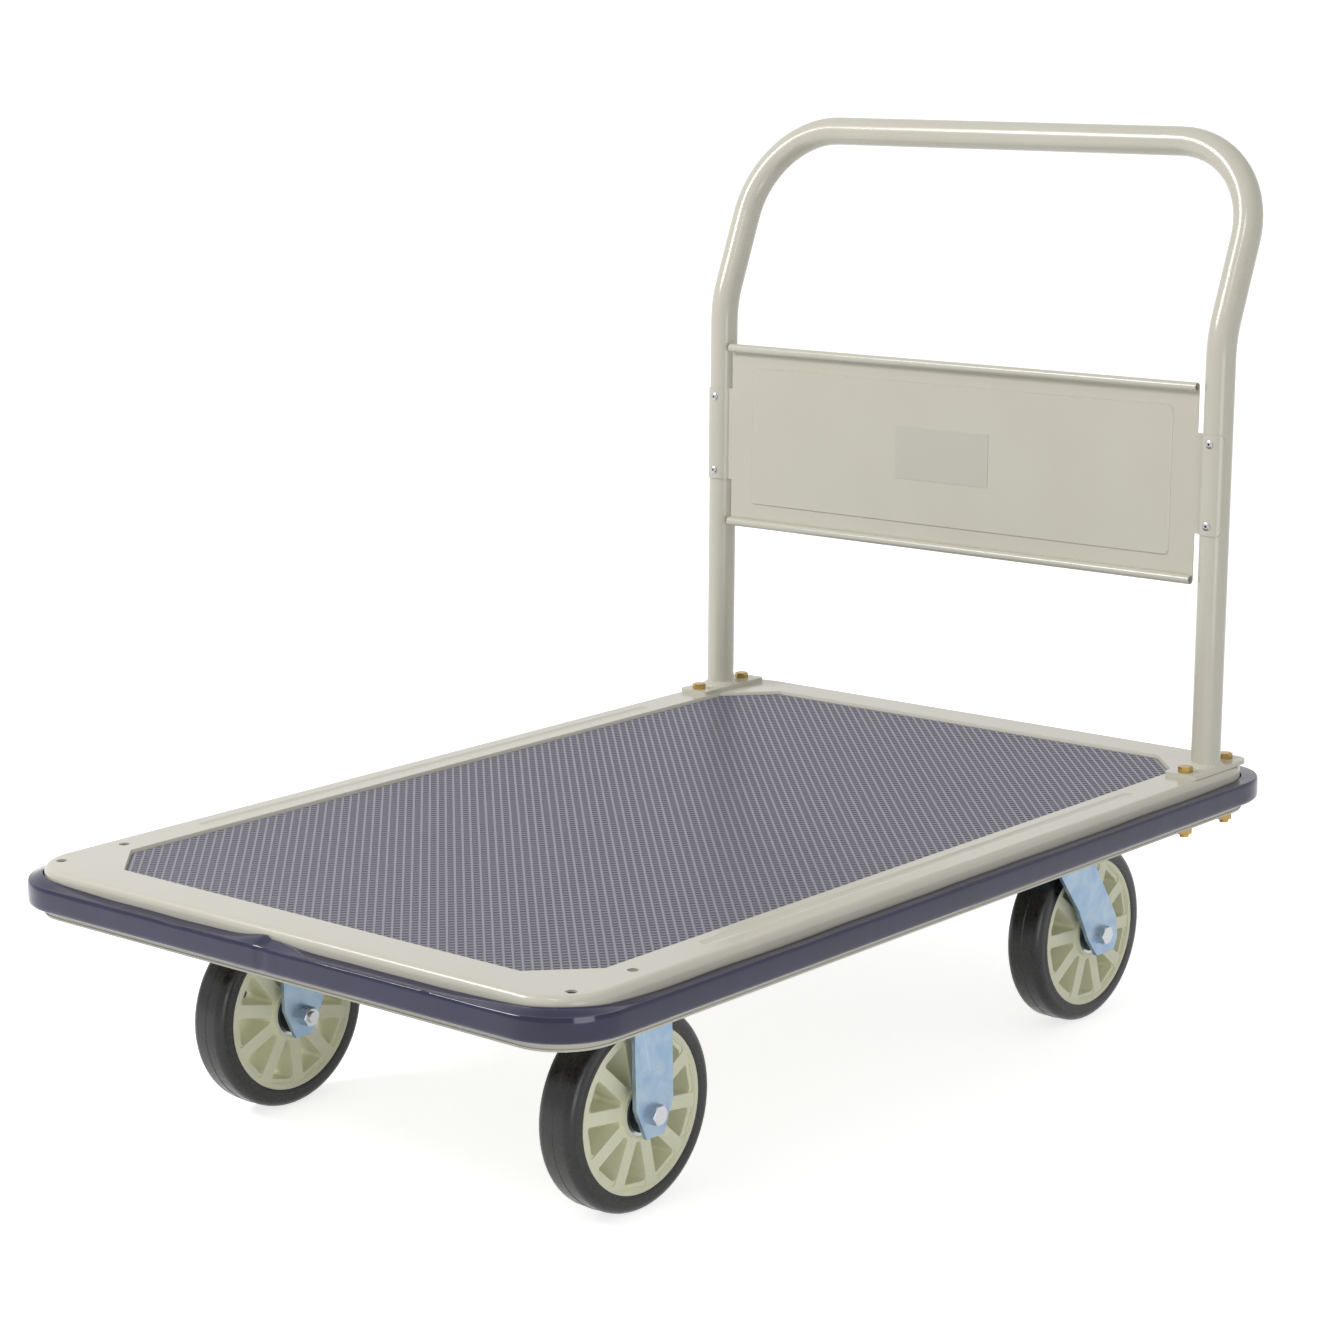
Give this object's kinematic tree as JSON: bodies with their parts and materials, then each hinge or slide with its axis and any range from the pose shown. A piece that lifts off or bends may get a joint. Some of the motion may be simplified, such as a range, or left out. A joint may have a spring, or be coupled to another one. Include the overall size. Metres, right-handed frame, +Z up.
{
  "type": "platform trolley",
  "caption": "Flat warehouse platform trolley with a padded edge, a fixed bent-tube push handle with a sheet panel, fixed front casters and swivel rear casters.",
  "frame": {"origin": "on the floor, at the middle of the outline's length and width", "axes": "+Z up; +X along the deck towards the push handle and the swivel casters; +Y to the left seen facing +X"},
  "size_m": [1.18, 0.772, 0.961],
  "materials": {
    "deck_paint": "satin",
    "handle_paint": "gloss",
    "mat_vinyl": "satin",
    "bumper_vinyl": "gloss",
    "label_film": "satin",
    "rivet_aluminium": "satin",
    "yellow_zinc": "satin",
    "blue_zinc": "satin",
    "bright_steel": "polished",
    "bearing_steel": "satin",
    "wheel_nylon": "satin",
    "tyre_rubber": "matte"
  },
  "bodies": {
    "chassis": {"axle_bolt_front_left": "bright_steel", "axle_bolt_front_right": "bright_steel", "axle_nut_front_left": "bright_steel", "axle_nut_front_right": "bright_steel", "axle_sleeve_front_left": "bright_steel", "axle_sleeve_front_right": "bright_steel", "bumper_strip": "bumper_vinyl", "caster_bolts": "blue_zinc", "caster_channel_front": "deck_paint", "caster_channel_rear": "deck_paint", "caster_nuts": "blue_zinc", "caster_plate_front_left": "blue_zinc", "caster_plate_front_right": "blue_zinc", "caster_plate_rear_left": "blue_zinc", "caster_plate_rear_right": "blue_zinc", "deck_mat": "mat_vinyl", "deck_plate": "deck_paint", "foot_bracket_front_left": "deck_paint", "foot_bracket_front_right": "deck_paint", "foot_bracket_rear_left": "deck_paint", "foot_bracket_rear_right": "deck_paint", "foot_plate_left": "handle_paint", "foot_plate_right": "handle_paint", "fork_front_left": "blue_zinc", "fork_front_right": "blue_zinc", "handle_bolts": "yellow_zinc", "handle_nuts": "yellow_zinc", "handle_panel": "handle_paint", "handle_tube": "handle_paint", "handle_washers": "yellow_zinc", "handle_welds": "handle_paint", "kingpin_rear_left": "blue_zinc", "kingpin_rear_right": "blue_zinc", "panel_label": "label_film", "panel_rivets": "rivet_aluminium", "stiffener_left": "deck_paint", "stiffener_right": "deck_paint", "swivel_balls_rear_left": "bright_steel", "swivel_balls_rear_right": "bright_steel"},
    "wheel_front_left": {"wheel_rim_front_left": "wheel_nylon", "tyre_front_left": "tyre_rubber", "bearings_front_left": "bearing_steel"},
    "wheel_front_right": {"wheel_rim_front_right": "wheel_nylon", "tyre_front_right": "tyre_rubber", "bearings_front_right": "bearing_steel"},
    "wheel_rear_left": {"wheel_rim_rear_left": "wheel_nylon", "tyre_rear_left": "tyre_rubber", "bearings_rear_left": "bearing_steel"},
    "wheel_rear_right": {"wheel_rim_rear_right": "wheel_nylon", "tyre_rear_right": "tyre_rubber", "bearings_rear_right": "bearing_steel"},
    "swivel_rear_left": {"fork_rear_left": "blue_zinc", "axle_bolt_rear_left": "bright_steel", "axle_nut_rear_left": "bright_steel", "axle_sleeve_rear_left": "bright_steel"},
    "swivel_rear_right": {"fork_rear_right": "blue_zinc", "axle_bolt_rear_right": "bright_steel", "axle_nut_rear_right": "bright_steel", "axle_sleeve_rear_right": "bright_steel"}
  },
  "joints": [
    {"name": "swivel_turn_rear_left", "type": "hinge", "parent": "chassis", "child": "swivel_rear_left", "pos_m": [0.326, 0.238, 0.24], "axis": [0, 0, 1], "continuous": true},
    {"name": "swivel_turn_rear_right", "type": "hinge", "parent": "chassis", "child": "swivel_rear_right", "pos_m": [0.326, -0.238, 0.24], "axis": [0, 0, 1], "continuous": true},
    {"name": "wheel_spin_front_left", "type": "hinge", "parent": "chassis", "child": "wheel_front_left", "pos_m": [-0.3575, 0.238, 0.1], "axis": [0, 1, 0], "continuous": true},
    {"name": "wheel_spin_front_right", "type": "hinge", "parent": "chassis", "child": "wheel_front_right", "pos_m": [-0.3575, -0.238, 0.1], "axis": [0, 1, 0], "continuous": true},
    {"name": "wheel_spin_rear_left", "type": "hinge", "parent": "swivel_rear_left", "child": "wheel_rear_left", "pos_m": [0.381, 0.238, 0.1], "axis": [0, 1, 0], "continuous": true},
    {"name": "wheel_spin_rear_right", "type": "hinge", "parent": "swivel_rear_right", "child": "wheel_rear_right", "pos_m": [0.381, -0.238, 0.1], "axis": [0, 1, 0], "continuous": true}
  ]
}
